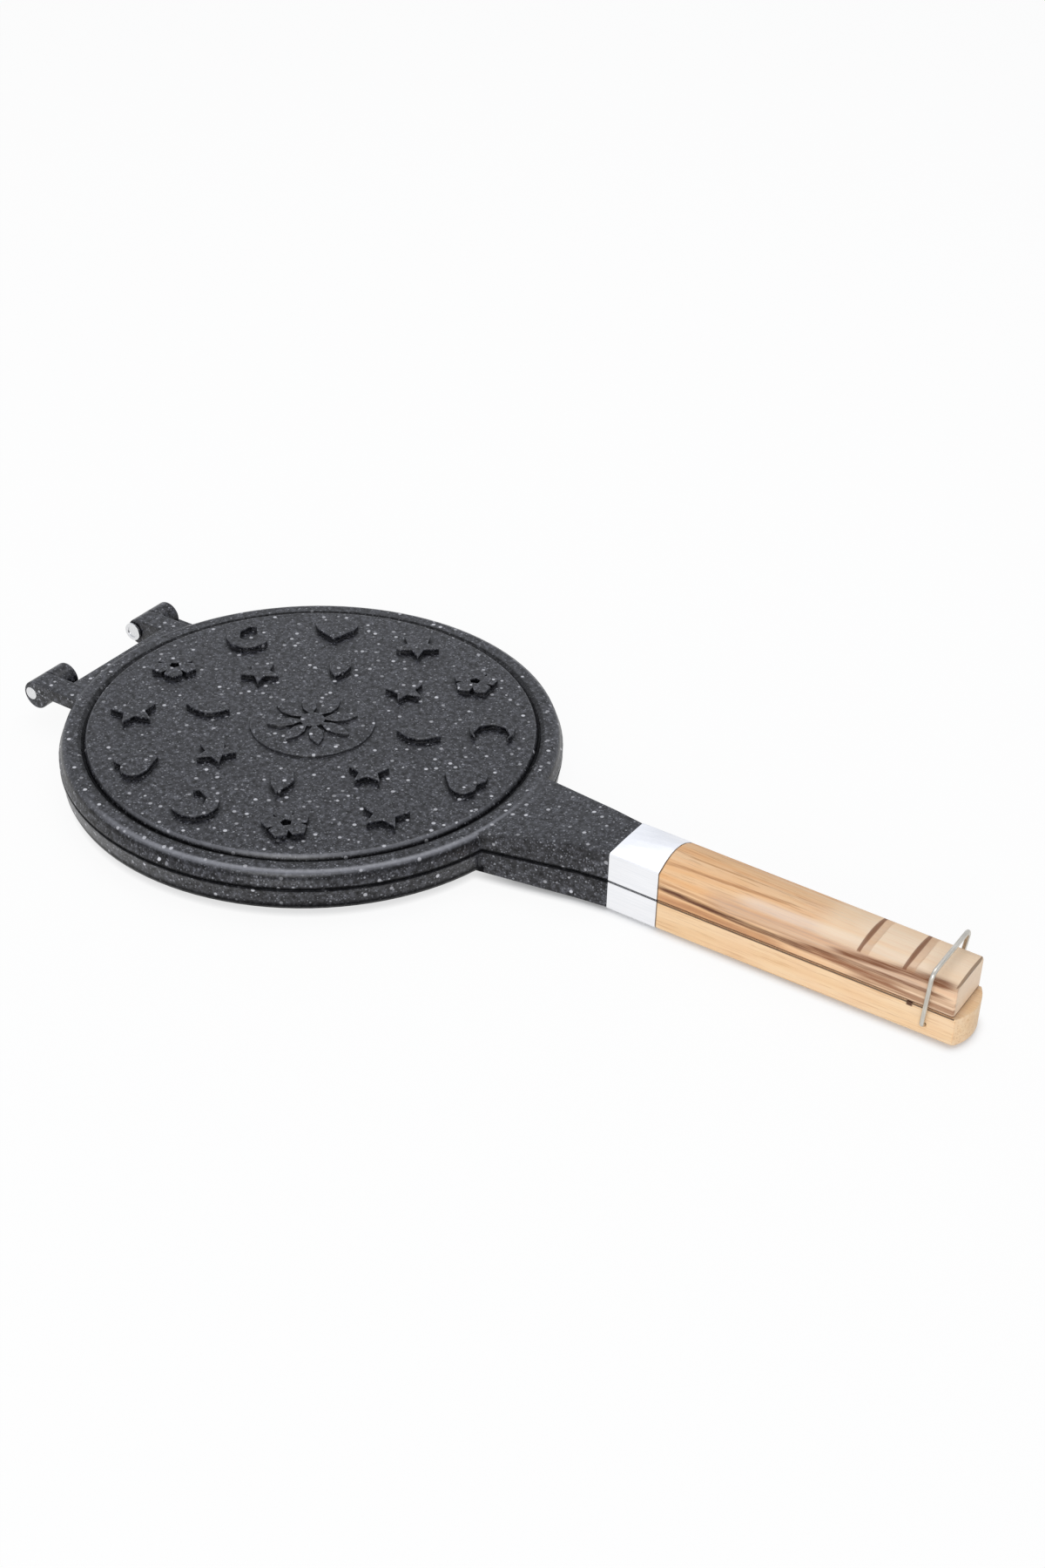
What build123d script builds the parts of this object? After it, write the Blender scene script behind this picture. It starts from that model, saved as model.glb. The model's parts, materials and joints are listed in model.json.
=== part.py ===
"""Round two-plate waffle pan: two cast halves on a two-knuckle hinge, split handle, wire bail.

Millimetres. +X runs along the handle, +Z is up, and the origin is the middle of the plates on the
surface that the closed pan lies on. Each casting is drawn with its parting face at z = 0 and its
back upward, then set above the seam, or turned half a turn about X and set below it.
"""
from build123d import *
import math
import os

os.makedirs("parts", exist_ok=True)

# Plates
PLATE_RADIUS = 120.0
PARTING_GAP = 0.4
UPPER_RIM_HEIGHT = 8.2
LOWER_RIM_HEIGHT = 12.2
FLANGE_HEIGHT = 1.9
FLANGE_STEP = 1.0
FLANGE_SLOPE_HEIGHT = 1.4
RIM_DRAFT = 0.2
RIM_CORNER_RADIUS = 3.0
RIM_RING_WIDTH = 12.8
FIELD_RISE = 1.3
FIELD_EDGE = 0.6
GROOVE_WIDTH = 3.2
GROOVE_DEPTH = 2.2
GROOVE_FLOOR_OUTSET = 1.2
SEAM_LAND_WIDTH = 17.0
CAVITY_DRAFT = 2.5
UPPER_WALL = 4.3
LOWER_WALL = 5.3

# Raised relief on the backs, with matching pockets in the cooking faces
MOTIF_RISE = 2.6
MOTIF_ROOT = 0.5
POCKET_SCALE = 0.8
OUTER_RING_INSET = 21.2
OUTER_RING_COUNT = 12
OUTER_MOTIF_SIZE = 23.0
INNER_RING_INSET = 55.2
INNER_RING_COUNT = 8
INNER_MOTIF_SIZE = 20.0
LEAF_LENGTH = 22.0
LEAF_WIDTH = 11.0
MEDALLION_RADIUS = 30.0
MEDALLION_RISE = 1.2
MEDALLION_FACETS = 24
ROSETTE_PETALS = 8
ROSETTE_RADIUS = 22.0
ROSETTE_PETAL_WIDTH = 7.5
ROSETTE_HUB_RADIUS = 6.0

# Hinge: two knuckle pairs, each one lug of either casting side by side
HINGE_AXIS_OUTSET = 19.0
KNUCKLE_MIDDLE_Y = 2.5
KNUCKLE_INNER_Y = 26.5
LUG_LENGTH = 11.3
LUG_GAP = 0.4
LUG_HEIGHT = 7.0
NOSE_OFFSET = 3.0
WEB_OUTSET = 1.5
WEB_ROOT_INSET = 14.0
WEB_DROP = 1.3
WEB_CHAMFER = 1.0
PIN_RADIUS = 3.3
PIN_RUNNING_CLEARANCE = 0.08
PIN_HEAD_RADIUS = 4.7
PIN_HEAD_LENGTH = 1.6
PIN_HEAD_FACETS = 16
PIN_HOLLOW_RADIUS = 3.0
PIN_HOLLOW_DEPTH = 0.5
PIN_HEAD_CLEARANCE = 0.3

# Handle arm of each casting, the seat under the ferrule and the tang in the grip
ARM_ROOT_INSET = 8.0
ARM_ROOT_HALF_WIDTH = 28.8
ARM_BEND_OUTSET = 40.0
ARM_BEND_HALF_WIDTH = 16.6
ARM_END_OUTSET = 55.0
HANDLE_HALF_WIDTH = 14.5
HANDLE_HALF_DEPTH = 14.8
ARM_EDGE = 0.9
FERRULE_LENGTH = 25.0
FERRULE_WALL = 1.5
FERRULE_SEAT_CLEARANCE = 0.1
TANG_HALF_WIDTH = 9.0
TANG_THICKNESS = 5.0
TANG_LENGTH = 62.0
TANG_SLOT_CLEARANCE = 0.2

# Wooden grips
CROWN_FACETS = 6
EDGE_FACETS = 2
GRIP_CROWN = 4.5
GRIP_EDGE_RADIUS = 1.3
FERRULE_EDGE_RADIUS = 0.7
UPPER_GRIP_LENGTH = 140.0
LOWER_GRIP_OVERHANG = 5.0
GRIP_END_HALF_WIDTH = 13.2
UPPER_END_SIDE = 15.4
LOWER_END_SIDE = 14.2
GRIP_END_CROWN = 0.9
LOWER_GRIP_CROWN = 0.3
LOWER_END_SAGITTA = 4.0
GRIP_END_CHAMFER = 0.8
NOTCH_INSETS = (42.5, 21.8)
NOTCH_RADIUS = 2.8
NOTCH_DEPTH = 1.8

# Wood screws through each tang
SCREW_OFFSETS = (16.0, 46.0)
SCREW_RADIUS = 1.9
SCREW_HOLE_RADIUS = 2.1
SCREW_HEAD_RADIUS = 3.8
SCREW_LENGTH = 11.0
SCREW_TIP = 2.0
SCREW_TIP_RADIUS = 0.4
SCREW_FACETS = 10

# Wire bail
WIRE_RADIUS = 1.05
WIRE_FACETS = 10
BEND_CHORDS = 4
BAIL_PIVOT_INSET = 12.4
BAIL_PIVOT_DEPTH = 9.0
BAIL_REACH = 31.2
BAIL_LEAN_DEGREES = 4.6
BAIL_LEG_CLEARANCE = 0.5
BAIL_STOP_CLEARANCE = 0.5
BAIL_TOP_HALF_WIDTH = 18.4
BAIL_BEND_RADIUS = 3.2
BAIL_END_LENGTH = 7.0
BAIL_HOLE_CLEARANCE = 0.08
BAIL_HOLE_SPARE = 1.0
BAIL_MOUTH_RADIUS = 2.0
BAIL_MOUTH_DEPTH = 0.8

# Places that follow from the sizes above
HALF_GAP = PARTING_GAP / 2
SEAM_Z = HALF_GAP + LOWER_RIM_HEIGHT + FIELD_RISE + MOTIF_RISE
FIELD_RADIUS = PLATE_RADIUS - RIM_RING_WIDTH
CAVITY_RADIUS = PLATE_RADIUS - SEAM_LAND_WIDTH
OUTER_RING_RADIUS = FIELD_RADIUS - OUTER_RING_INSET
INNER_RING_RADIUS = FIELD_RADIUS - INNER_RING_INSET
HINGE_AXIS_X = -(PLATE_RADIUS + HINGE_AXIS_OUTSET)
WEB_EDGE_X = -(PLATE_RADIUS + WEB_OUTSET)
WEB_ROOT_X = -(PLATE_RADIUS - WEB_ROOT_INSET)
ARM_ROOT_X = PLATE_RADIUS - ARM_ROOT_INSET
ARM_BEND_X = PLATE_RADIUS + ARM_BEND_OUTSET
ARM_END_X = PLATE_RADIUS + ARM_END_OUTSET
FERRULE_END_X = ARM_END_X + FERRULE_LENGTH
UPPER_GRIP_END_X = FERRULE_END_X + UPPER_GRIP_LENGTH
LOWER_GRIP_END_X = UPPER_GRIP_END_X + LOWER_GRIP_OVERHANG
BAIL_PIVOT_X = UPPER_GRIP_END_X - BAIL_PIVOT_INSET
TANG_LOW = FERRULE_WALL + FERRULE_SEAT_CLEARANCE
TANG_HIGH = TANG_LOW + TANG_THICKNESS
KNUCKLE_OUTER_Y = KNUCKLE_INNER_Y + 2 * LUG_LENGTH + LUG_GAP
NOSE_RADIUS = LUG_HEIGHT + HALF_GAP
HINGE_PIVOT = (HINGE_AXIS_X, 0.0, SEAM_Z)
BAIL_PIVOT = (BAIL_PIVOT_X, 0.0, SEAM_Z - BAIL_PIVOT_DEPTH)


def extrude_between(sketch, low, high):
    """A flat sketch drawn on z = 0, made solid from low to high."""
    return Pos(0, 0, low) * extrude(sketch, high - low)


def polygon(radius, sides, turn=0.0):
    """Straight-sided round, as relief this small is cut in a mould."""
    return Rot(0, 0, turn) * RegularPolygon(radius, sides)


def star(size):
    """Five-pointed star."""
    points = []
    for corner in range(10):
        radius = size / 2 if corner % 2 == 0 else size * 0.23
        angle = math.radians(90 + 36 * corner)
        points.append((radius * math.cos(angle), radius * math.sin(angle)))
    return make_face(Polyline(*points, close=True))


def heart(size):
    """Heart: a square on its corner with a lobe on each upper side."""
    side = size * 0.56
    lobe = side / (2 * math.sqrt(2))
    body = Rot(0, 0, 45) * Rectangle(side, side)
    return body + Pos(-lobe, lobe) * polygon(side / 2, 8) + Pos(lobe, lobe) * polygon(side / 2, 8)


def crescent(size):
    """Crescent moon."""
    return polygon(size * 0.48, 11) - Pos(size * 0.19, 0) * polygon(size * 0.38, 8)


def flower(size):
    """Five petals about an open eye."""
    petals = 5
    bloom = polygon(size * 0.27, petals)
    for turn in range(petals):
        bloom += Rot(0, 0, 360 * turn / petals) * Pos(size * 0.29, 0) * polygon(size * 0.21, 5)
    return bloom - polygon(size * 0.12, 5)


def leaf(length, width, steps=4):
    """Pointed leaf, widest in its middle."""
    right = []
    left = []
    for step in range(1, steps):
        along = step / steps
        half = width / 2 * math.sin(math.pi * along)
        right.append((half, length * (along - 0.5)))
        left.append((-half, length * (0.5 - along)))
    return make_face(Polyline((0, -length / 2), *right, (0, length / 2), *left, close=True))


def motif_places(scale):
    """Every motif of both rings at its place, drawn at the given scale."""
    shapes = (star, heart, crescent, flower)
    placed = []
    for index in range(OUTER_RING_COUNT):
        turn = 360 * index / OUTER_RING_COUNT
        drawn = shapes[index % len(shapes)](OUTER_MOTIF_SIZE * scale)
        placed.append(Rot(0, 0, turn) * Pos(0, OUTER_RING_RADIUS) * drawn)
    for index in range(INNER_RING_COUNT):
        turn = 360 * (index + 0.5) / INNER_RING_COUNT
        if index % 2 == 0:
            drawn = leaf(LEAF_LENGTH * scale, LEAF_WIDTH * scale)
        else:
            drawn = star(INNER_MOTIF_SIZE * scale)
        placed.append(Rot(0, 0, turn) * Pos(0, INNER_RING_RADIUS) * drawn)
    return placed


def rosette():
    """Plain petal rosette for the middle medallion."""
    bloom = polygon(ROSETTE_HUB_RADIUS, 2 * ROSETTE_PETALS)
    root = ROSETTE_HUB_RADIUS * 0.7
    reach = ROSETTE_RADIUS - root
    for turn in range(ROSETTE_PETALS):
        petal = leaf(reach, ROSETTE_PETAL_WIDTH, steps=3)
        bloom += Rot(0, 0, 360 * turn / ROSETTE_PETALS) * Pos(0, root + reach / 2) * petal
    return bloom


def plate_disc(rim_height, wall):
    """The turned form of one casting: flange, rim, groove and raised field over the hollow."""
    field = rim_height + FIELD_RISE
    hollow = field - wall
    shoulder_radius = PLATE_RADIUS - FLANGE_STEP
    top_radius = shoulder_radius - RIM_DRAFT
    corner = RIM_CORNER_RADIUS * (1 - math.sqrt(0.5))
    points = [
        (0, hollow),
        (CAVITY_RADIUS - CAVITY_DRAFT, hollow),
        (CAVITY_RADIUS, 0),
        (PLATE_RADIUS, 0),
        (PLATE_RADIUS, FLANGE_HEIGHT),
        (shoulder_radius, FLANGE_HEIGHT + FLANGE_SLOPE_HEIGHT),
        (top_radius, rim_height - RIM_CORNER_RADIUS),
        (top_radius - corner, rim_height - corner),
        (top_radius - RIM_CORNER_RADIUS, rim_height),
        (FIELD_RADIUS + GROOVE_WIDTH, rim_height),
        (FIELD_RADIUS + GROOVE_FLOOR_OUTSET, rim_height - GROOVE_DEPTH),
        (FIELD_RADIUS - FIELD_EDGE, field),
        (0, field),
    ]
    profile = make_face(Plane.XZ * Polyline(*points, close=True))
    return revolve(profile, Axis.Z)


def hinge_lugs(web_height, middle_y):
    """The straight web and this casting's lug of each knuckle pair, not yet bored."""
    starts = (middle_y - KNUCKLE_OUTER_Y, middle_y + KNUCKLE_INNER_Y)
    web_start = starts[0]
    web_end = starts[1] + LUG_LENGTH
    web = Pos((WEB_EDGE_X + WEB_ROOT_X) / 2, (web_start + web_end) / 2, web_height / 2) * Box(
        WEB_ROOT_X - WEB_EDGE_X, web_end - web_start, web_height)
    lugs = chamfer(web.edges().filter_by(Axis.Y).group_by(Axis.X)[0].sort_by(Axis.Z)[-1],
                   WEB_CHAMFER)
    nose_x = HINGE_AXIS_X + NOSE_OFFSET
    neck_length = WEB_ROOT_X - nose_x
    for start in starts:
        middle = start + LUG_LENGTH / 2
        lugs += Pos(nose_x, middle, -HALF_GAP) * Rot(90, 0, 0) * Cylinder(NOSE_RADIUS, LUG_LENGTH)
        lugs += Pos(nose_x + neck_length / 2, middle, LUG_HEIGHT / 2) * Box(
            neck_length, LUG_LENGTH, LUG_HEIGHT)
    return lugs


def bored_hinge(casting, bore_radius):
    """The casting with its two lugs bored on the hinge axis."""
    bore = Pos(HINGE_AXIS_X, 0, -HALF_GAP) * Rot(90, 0, 0) * Cylinder(
        bore_radius, 2 * (KNUCKLE_OUTER_Y + KNUCKLE_MIDDLE_Y) + 2)
    return casting - bore


def arm_section(x, half_width, height):
    """Cross-section of the arm at x: flat seam face, outer edges broken."""
    points = [
        (-half_width, 0), (half_width, 0), (half_width, height - ARM_EDGE),
        (half_width - ARM_EDGE, height), (-half_width + ARM_EDGE, height),
        (-half_width, height - ARM_EDGE),
    ]
    return Plane(origin=(x, 0, 0), x_dir=(0, 1, 0), z_dir=(1, 0, 0)) * make_face(
        Polyline(*points, close=True))


def handle_arm(rim_height):
    """Arm that narrows and deepens from the rim to the ferrule, with seat and tang."""
    arm = loft([
        arm_section(ARM_ROOT_X, ARM_ROOT_HALF_WIDTH, rim_height),
        arm_section(ARM_BEND_X, ARM_BEND_HALF_WIDTH, HANDLE_HALF_DEPTH),
    ], ruled=True)
    arm += loft([
        arm_section(ARM_BEND_X, ARM_BEND_HALF_WIDTH, HANDLE_HALF_DEPTH),
        arm_section(ARM_END_X, HANDLE_HALF_WIDTH, HANDLE_HALF_DEPTH),
    ], ruled=True)
    inset = FERRULE_WALL + FERRULE_SEAT_CLEARANCE
    seat_height = HANDLE_HALF_DEPTH - 2 * inset
    seat = Pos(ARM_END_X + FERRULE_LENGTH / 2, 0, inset + seat_height / 2) * Box(
        FERRULE_LENGTH, 2 * (HANDLE_HALF_WIDTH - inset), seat_height)
    tang = Pos(FERRULE_END_X + TANG_LENGTH / 2, 0, (TANG_LOW + TANG_HIGH) / 2) * Box(
        TANG_LENGTH, 2 * TANG_HALF_WIDTH, TANG_THICKNESS)
    tang = fillet(tang.edges().filter_by(Axis.Z).group_by(Axis.X)[-1], TANG_HALF_WIDTH / 2)
    return arm + seat + tang


def turned_bar(low_radius, high_radius, length):
    """A bar with many flat sides, straight or tapered, standing on z = 0."""
    inward = (low_radius - high_radius) * math.cos(math.pi / SCREW_FACETS)
    taper = math.degrees(math.atan2(inward, length))
    return extrude(RegularPolygon(low_radius, SCREW_FACETS), length, taper=taper)


def screw_places():
    """Middles of the screws along the tang."""
    return [FERRULE_END_X + offset for offset in SCREW_OFFSETS]


def screw_holes():
    """Countersunk clearance holes through the tang."""
    head_depth = SCREW_HEAD_RADIUS - SCREW_RADIUS
    clearance = SCREW_HOLE_RADIUS - SCREW_RADIUS
    hole = turned_bar(SCREW_HOLE_RADIUS, SCREW_HOLE_RADIUS, TANG_THICKNESS)
    sink = turned_bar(SCREW_HEAD_RADIUS + clearance, SCREW_RADIUS + clearance, head_depth)
    return [Pos(x, 0, TANG_LOW) * (hole + sink) for x in screw_places()]


def casting(rim_height, wall, bore_radius, middle_y):
    """One whole casting with its parting face at z = 0 and its back upward."""
    field = rim_height + FIELD_RISE
    hollow = field - wall
    body = plate_disc(rim_height, wall) + hinge_lugs(rim_height - WEB_DROP, middle_y)
    body += handle_arm(rim_height)
    body -= cavity_cutter(hollow)
    body += extrude_between(polygon(MEDALLION_RADIUS, MEDALLION_FACETS), field - MOTIF_ROOT,
                            field + MEDALLION_RISE)
    body += extrude_between(rosette(), field + MEDALLION_RISE - MOTIF_ROOT, field + MOTIF_RISE)
    for drawn in motif_places(1.0):
        body += extrude_between(drawn, field - MOTIF_ROOT, field + MOTIF_RISE)
    for drawn in motif_places(POCKET_SCALE):
        body -= extrude_between(drawn, hollow - MOTIF_ROOT, hollow + MOTIF_RISE)
    body = bored_hinge(body, bore_radius)
    return body - screw_holes()


def cavity_cutter(hollow):
    """The cooking hollow, which also trims what the web and arm roots would put in it."""
    return Pos(0, 0, hollow / 2) * Cone(CAVITY_RADIUS, CAVITY_RADIUS - CAVITY_DRAFT, hollow)


def handle_section(x, half_width, side, crown, edge_radius):
    """Cross-section of a half handle: flat seam face, upright sides, round edges, crowned top."""
    inner = half_width - edge_radius
    points = [(half_width, 0)]
    for step in range(EDGE_FACETS + 1):
        turn = math.radians(90 * step / EDGE_FACETS)
        points.append((inner + edge_radius * math.cos(turn),
                       side - edge_radius + edge_radius * math.sin(turn)))
    for step in range(1, CROWN_FACETS):
        across = 1 - 2 * step / CROWN_FACETS
        points.append((inner * across, side + crown * (1 - across ** 2)))
    mirrored = [(-y, z) for y, z in reversed(points[:EDGE_FACETS + 2])]
    return Plane(origin=(x, 0, 0), x_dir=(0, 1, 0), z_dir=(1, 0, 0)) * make_face(
        Polyline(*points, *mirrored, close=True))


def ferrule(crown):
    """Metal sleeve half that grows from the arm's flat top to the grip's crowned one."""
    sleeve = loft([
        handle_section(ARM_END_X, HANDLE_HALF_WIDTH, HANDLE_HALF_DEPTH, LOWER_GRIP_CROWN,
                       FERRULE_EDGE_RADIUS),
        handle_section(FERRULE_END_X, HANDLE_HALF_WIDTH, HANDLE_HALF_DEPTH, crown,
                       FERRULE_EDGE_RADIUS),
    ], ruled=True)
    hole_height = HANDLE_HALF_DEPTH - 2 * FERRULE_WALL
    hole = Pos((ARM_END_X + FERRULE_END_X) / 2, 0, FERRULE_WALL + hole_height / 2) * Box(
        FERRULE_LENGTH + 2, 2 * (HANDLE_HALF_WIDTH - FERRULE_WALL), hole_height)
    return sleeve - hole


def grip_blank(end, crown, end_side, end_crown):
    """Tapered wooden half grip before its cuts."""
    return loft([
        handle_section(FERRULE_END_X, HANDLE_HALF_WIDTH, HANDLE_HALF_DEPTH, crown,
                       GRIP_EDGE_RADIUS),
        handle_section(end, GRIP_END_HALF_WIDTH, end_side, end_crown, GRIP_EDGE_RADIUS),
    ], ruled=True)


def upper_grip_top(x):
    """Height of the upper grip's crown above its seam face at x."""
    along = (x - FERRULE_END_X) / UPPER_GRIP_LENGTH
    start = HANDLE_HALF_DEPTH + GRIP_CROWN
    return start + (UPPER_END_SIDE + GRIP_END_CROWN - start) * along


def tang_slot():
    """Slot in the seam face of a grip that the tang and screws lie in."""
    slot_high = TANG_HIGH + TANG_SLOT_CLEARANCE
    slot_length = TANG_LENGTH + TANG_SLOT_CLEARANCE
    slot = Pos(FERRULE_END_X + slot_length / 2, 0, slot_high / 2) * Box(
        slot_length, 2 * (TANG_HALF_WIDTH + TANG_SLOT_CLEARANCE), slot_high)
    slot = fillet(slot.edges().filter_by(Axis.Z).group_by(Axis.X)[-1], TANG_HALF_WIDTH / 2)
    for x in screw_places():
        slot += Pos(x, 0, TANG_LOW) * screw_shank()
    return slot


def screw_shank():
    """Shank and point of a wood screw, from its head face at z = 0 upward."""
    straight = SCREW_LENGTH - SCREW_TIP
    shank = turned_bar(SCREW_RADIUS, SCREW_RADIUS, straight)
    return shank + Pos(0, 0, straight) * turned_bar(SCREW_RADIUS, SCREW_TIP_RADIUS, SCREW_TIP)


def grip_screws():
    """The two countersunk screws of one grip, as separate solids."""
    head_depth = SCREW_HEAD_RADIUS - SCREW_RADIUS
    screws = []
    for x in screw_places():
        head = turned_bar(SCREW_HEAD_RADIUS, SCREW_RADIUS, head_depth)
        screws.append(Pos(x, 0, TANG_LOW) * (head + screw_shank()))
    return screws


def upper_grip():
    """Upper grip: crowned, square-ended, with two finger notches across its top."""
    grip = grip_blank(UPPER_GRIP_END_X, GRIP_CROWN, UPPER_END_SIDE, GRIP_END_CROWN)
    grip = chamfer(grip.faces().sort_by(Axis.X)[-1].edges().filter_by(
        lambda edge: edge.center().Z > GRIP_EDGE_RADIUS), GRIP_END_CHAMFER)
    for inset in NOTCH_INSETS:
        x = UPPER_GRIP_END_X - inset
        groove = Cylinder(NOTCH_RADIUS, 2 * HANDLE_HALF_WIDTH + 2)
        middle = upper_grip_top(x) - NOTCH_DEPTH + NOTCH_RADIUS
        grip -= Pos(x, 0, middle) * Rot(90, 0, 0) * groove
    return grip - tang_slot()


def bail_holes():
    """Blind cross holes for the bail's ends, in the grip's own frame, with bevelled mouths."""
    depth = BAIL_PIVOT_DEPTH - HALF_GAP
    hole_radius = WIRE_RADIUS + BAIL_HOLE_CLEARANCE
    outside = HANDLE_HALF_WIDTH + 1
    hole_end = bail_leg_y() - BAIL_END_LENGTH - BAIL_HOLE_SPARE
    mouth_end = bail_grip_half_width() - BAIL_MOUTH_DEPTH
    hole = extrude_between(Circle(hole_radius), hole_end, outside)
    widening = (BAIL_MOUTH_RADIUS - hole_radius) / BAIL_MOUTH_DEPTH
    mouth = Pos(0, 0, mouth_end) * extrude(
        polygon(hole_radius, SCREW_FACETS), outside - mouth_end,
        taper=-math.degrees(math.atan(widening)))
    holes = []
    for side in (-1, 1):
        across = Pos(BAIL_PIVOT_X, 0, depth) * Rot(-90 * side, 0, 0)
        holes.append(across * (hole + mouth))
    return holes


def lower_grip():
    """Lower grip: flat beneath, with a round convex end and the bail's holes."""
    end = LOWER_GRIP_END_X
    grip = grip_blank(end, LOWER_GRIP_CROWN, LOWER_END_SIDE, LOWER_GRIP_CROWN)
    start = FERRULE_END_X - 1
    side = end - LOWER_END_SAGITTA
    reach = HANDLE_HALF_WIDTH + 1
    plan = make_face(Curve([
        Line((start, -reach), (side, -reach)),
        Line((side, -reach), (side, -GRIP_END_HALF_WIDTH)),
        ThreePointArc((side, -GRIP_END_HALF_WIDTH), (end, 0), (side, GRIP_END_HALF_WIDTH)),
        Line((side, GRIP_END_HALF_WIDTH), (side, reach)),
        Line((side, reach), (start, reach)),
        Line((start, reach), (start, -reach)),
    ]))
    grip = grip & extrude_between(plan, -1, HANDLE_HALF_DEPTH + 3)
    return grip - tang_slot() - bail_holes()


def bail_grip_half_width():
    """Half width of the lower grip where the bail pivots."""
    along = (BAIL_PIVOT_X - FERRULE_END_X) / (LOWER_GRIP_END_X - FERRULE_END_X)
    return HANDLE_HALF_WIDTH + (GRIP_END_HALF_WIDTH - HANDLE_HALF_WIDTH) * along


def bail_leg_y():
    """Where the bail's legs leave the grip's sides, to the wire's middle."""
    return bail_grip_half_width() + BAIL_LEG_CLEARANCE + WIRE_RADIUS


def bent_route(corners, radius):
    """Straight runs through the corners, with short chords of the radius round each bend."""
    route = [corners[0]]
    for before, corner, after in zip(corners, corners[1:], corners[2:]):
        ahead = (corner - before).normalized()
        away = (after - corner).normalized()
        turn = math.acos(ahead.dot(away))
        inward = (away - ahead * math.cos(turn)).normalized()
        start = corner - ahead * (radius * math.tan(turn / 2))
        for step in range(BEND_CHORDS + 1):
            angle = turn * step / BEND_CHORDS
            bend = ahead * (radius * math.sin(angle)) + inward * (radius * (1 - math.cos(angle)))
            route.append(start + bend)
    return route + [corners[-1]]


def bail():
    """Bent wire bail, drawn upright about its pivot, leant to its closed place."""
    foot = bail_leg_y()
    points = [
        (0, -(foot - BAIL_END_LENGTH), 0), (0, -foot, 0), (0, -BAIL_TOP_HALF_WIDTH, BAIL_REACH),
        (0, BAIL_TOP_HALF_WIDTH, BAIL_REACH), (0, foot, 0), (0, foot - BAIL_END_LENGTH, 0),
    ]
    route = bent_route([Vector(*point) for point in points], BAIL_BEND_RADIUS)
    start = Plane(origin=points[0], x_dir=(1, 0, 0), z_dir=(0, -1, 0))
    section = start * RegularPolygon(WIRE_RADIUS, WIRE_FACETS)
    wire = sweep(section, path=Polyline(*route), transition=Transition.RIGHT)
    return Pos(*BAIL_PIVOT) * Rot(0, BAIL_LEAN_DEGREES, 0) * wire


def hinge_pin(near):
    """Rivet pin with a hollow-faced head at its knuckle's inner end and a flush outer tail."""
    head_gap = 0.0 if near else PIN_HEAD_CLEARANCE
    shank_end = PIN_HEAD_LENGTH + head_gap + KNUCKLE_OUTER_Y - KNUCKLE_INNER_Y
    pin = extrude_between(polygon(PIN_HEAD_RADIUS, PIN_HEAD_FACETS), 0, PIN_HEAD_LENGTH)
    pin -= extrude_between(polygon(PIN_HOLLOW_RADIUS, PIN_HEAD_FACETS), 0, PIN_HOLLOW_DEPTH)
    pin += extrude_between(Circle(PIN_RADIUS), PIN_HEAD_LENGTH, shank_end)
    head_start = KNUCKLE_INNER_Y - head_gap - PIN_HEAD_LENGTH
    pin = Pos(0, head_start, 0) * Rot(-90, 0, 0) * pin
    if near:
        pin = Rot(0, 0, 180) * pin
    return Pos(*HINGE_PIVOT) * Pos(0, KNUCKLE_MIDDLE_Y, 0) * pin


def above(shape):
    """A half drawn from its parting face, set above the seam."""
    return Pos(0, 0, SEAM_Z + HALF_GAP) * shape


def below(shape):
    """A half drawn from its parting face, turned about X and set below the seam."""
    return Pos(0, 0, SEAM_Z - HALF_GAP) * Rot(180, 0, 0) * shape


def bail_limits():
    """Lean-back and fold-down limits of the bail, in degrees from its closed place."""
    top = upper_grip_top(UPPER_GRIP_END_X - NOTCH_INSETS[1])
    rise = BAIL_PIVOT_DEPTH + HALF_GAP + top + WIRE_RADIUS + BAIL_STOP_CLEARANCE
    back = math.degrees(math.acos(rise / BAIL_REACH)) + BAIL_LEAN_DEGREES
    drop = SEAM_Z - BAIL_PIVOT_DEPTH - WIRE_RADIUS - BAIL_STOP_CLEARANCE
    forward = 90 + math.degrees(math.asin(drop / BAIL_REACH)) - BAIL_LEAN_DEGREES
    return -back, forward


def main():
    upper_bore = PIN_RADIUS + PIN_RUNNING_CLEARANCE
    nodes = {
        "lower_plate": below(casting(LOWER_RIM_HEIGHT, LOWER_WALL, PIN_RADIUS,
                                     -KNUCKLE_MIDDLE_Y)),
        "upper_plate": above(casting(UPPER_RIM_HEIGHT, UPPER_WALL, upper_bore,
                                     KNUCKLE_MIDDLE_Y)),
        "near_hinge_pin": hinge_pin(near=True),
        "far_hinge_pin": hinge_pin(near=False),
        "lower_ferrule": below(ferrule(LOWER_GRIP_CROWN)),
        "upper_ferrule": above(ferrule(GRIP_CROWN)),
        "lower_grip": below(lower_grip()),
        "upper_grip": above(upper_grip()),
        "latch_bail": bail(),
        "lower_grip_screws": Compound([below(screw) for screw in grip_screws()]),
        "upper_grip_screws": Compound([above(screw) for screw in grip_screws()]),
    }
    for name, shape in nodes.items():
        export_step(shape, f"parts/{name}.step")
        print(f"{name}: {len(shape.solids())} solid(s), {shape.volume / 1000:.2f} cm3")
    print("hinge pivot", HINGE_PIVOT, "bail pivot", BAIL_PIVOT)
    print("bail limits %.1f to %.1f degrees" % bail_limits())


main()
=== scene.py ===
"""Round waffle pan lying closed on a white table, seen from above its near side.

Two castings with a sprayed stone-speckle coating, satin sleeves, oiled wooden half grips and a
bent wire bail. Sizes on the pan are in millimetres, turned to metres by mm(), and heights on it
are above the seam between its halves.
"""
import math

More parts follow.
